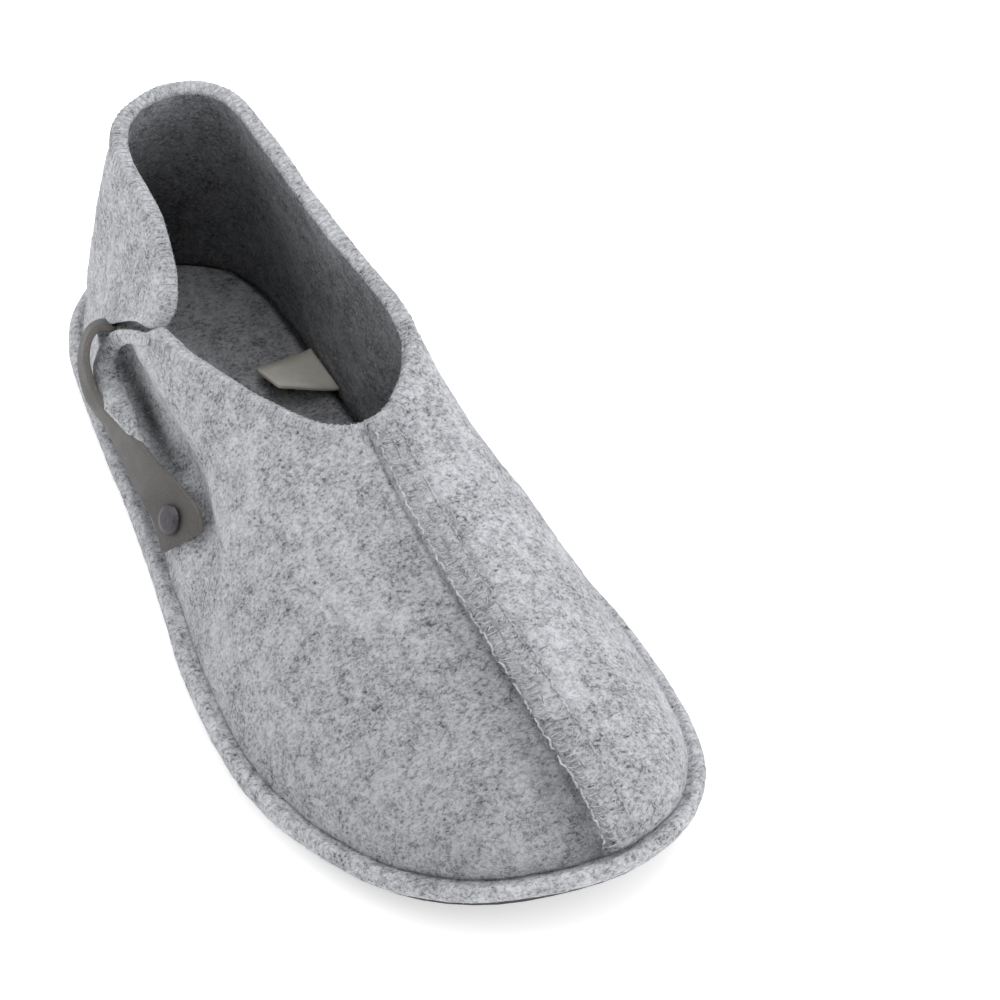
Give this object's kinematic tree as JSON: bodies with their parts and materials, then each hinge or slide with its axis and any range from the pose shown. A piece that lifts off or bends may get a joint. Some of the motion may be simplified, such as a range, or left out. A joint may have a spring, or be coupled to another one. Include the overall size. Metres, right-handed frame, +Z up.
{
  "type": "felt slipper",
  "caption": "Right-foot slipper: hollow felt upper with raised centre seam, side slit and riveted strap, felt sole, rubber outsole, insole.",
  "frame": {"origin": "centre of the bounding box on the ground plane, under the flat of the outsole", "axes": "+X from heel to toe, +Y towards the inner side of the foot, +Z up"},
  "size_m": [0.265, 0.1122, 0.0772],
  "materials": {
    "outsole_rubber": "satin black rubber with a raised irregular tread",
    "sole_felt": "light grey heather wool felt",
    "insole_felt": "dark grey heather felt",
    "upper_felt": "light grey heather wool felt outside, dark grey inside",
    "strap_leather": "matt taupe grey leather with paler cut edges",
    "rivet_metal": "satin gunmetal",
    "label_cloth": "woven cream cloth, bare"
  },
  "bodies": {
    "root": {"outsole": "outsole_rubber", "felt_sole": "sole_felt", "insole": "insole_felt", "upper": "upper_felt", "strap": "strap_leather", "rivet": "rivet_metal", "size_label": "label_cloth"}
  },
  "joints": []
}
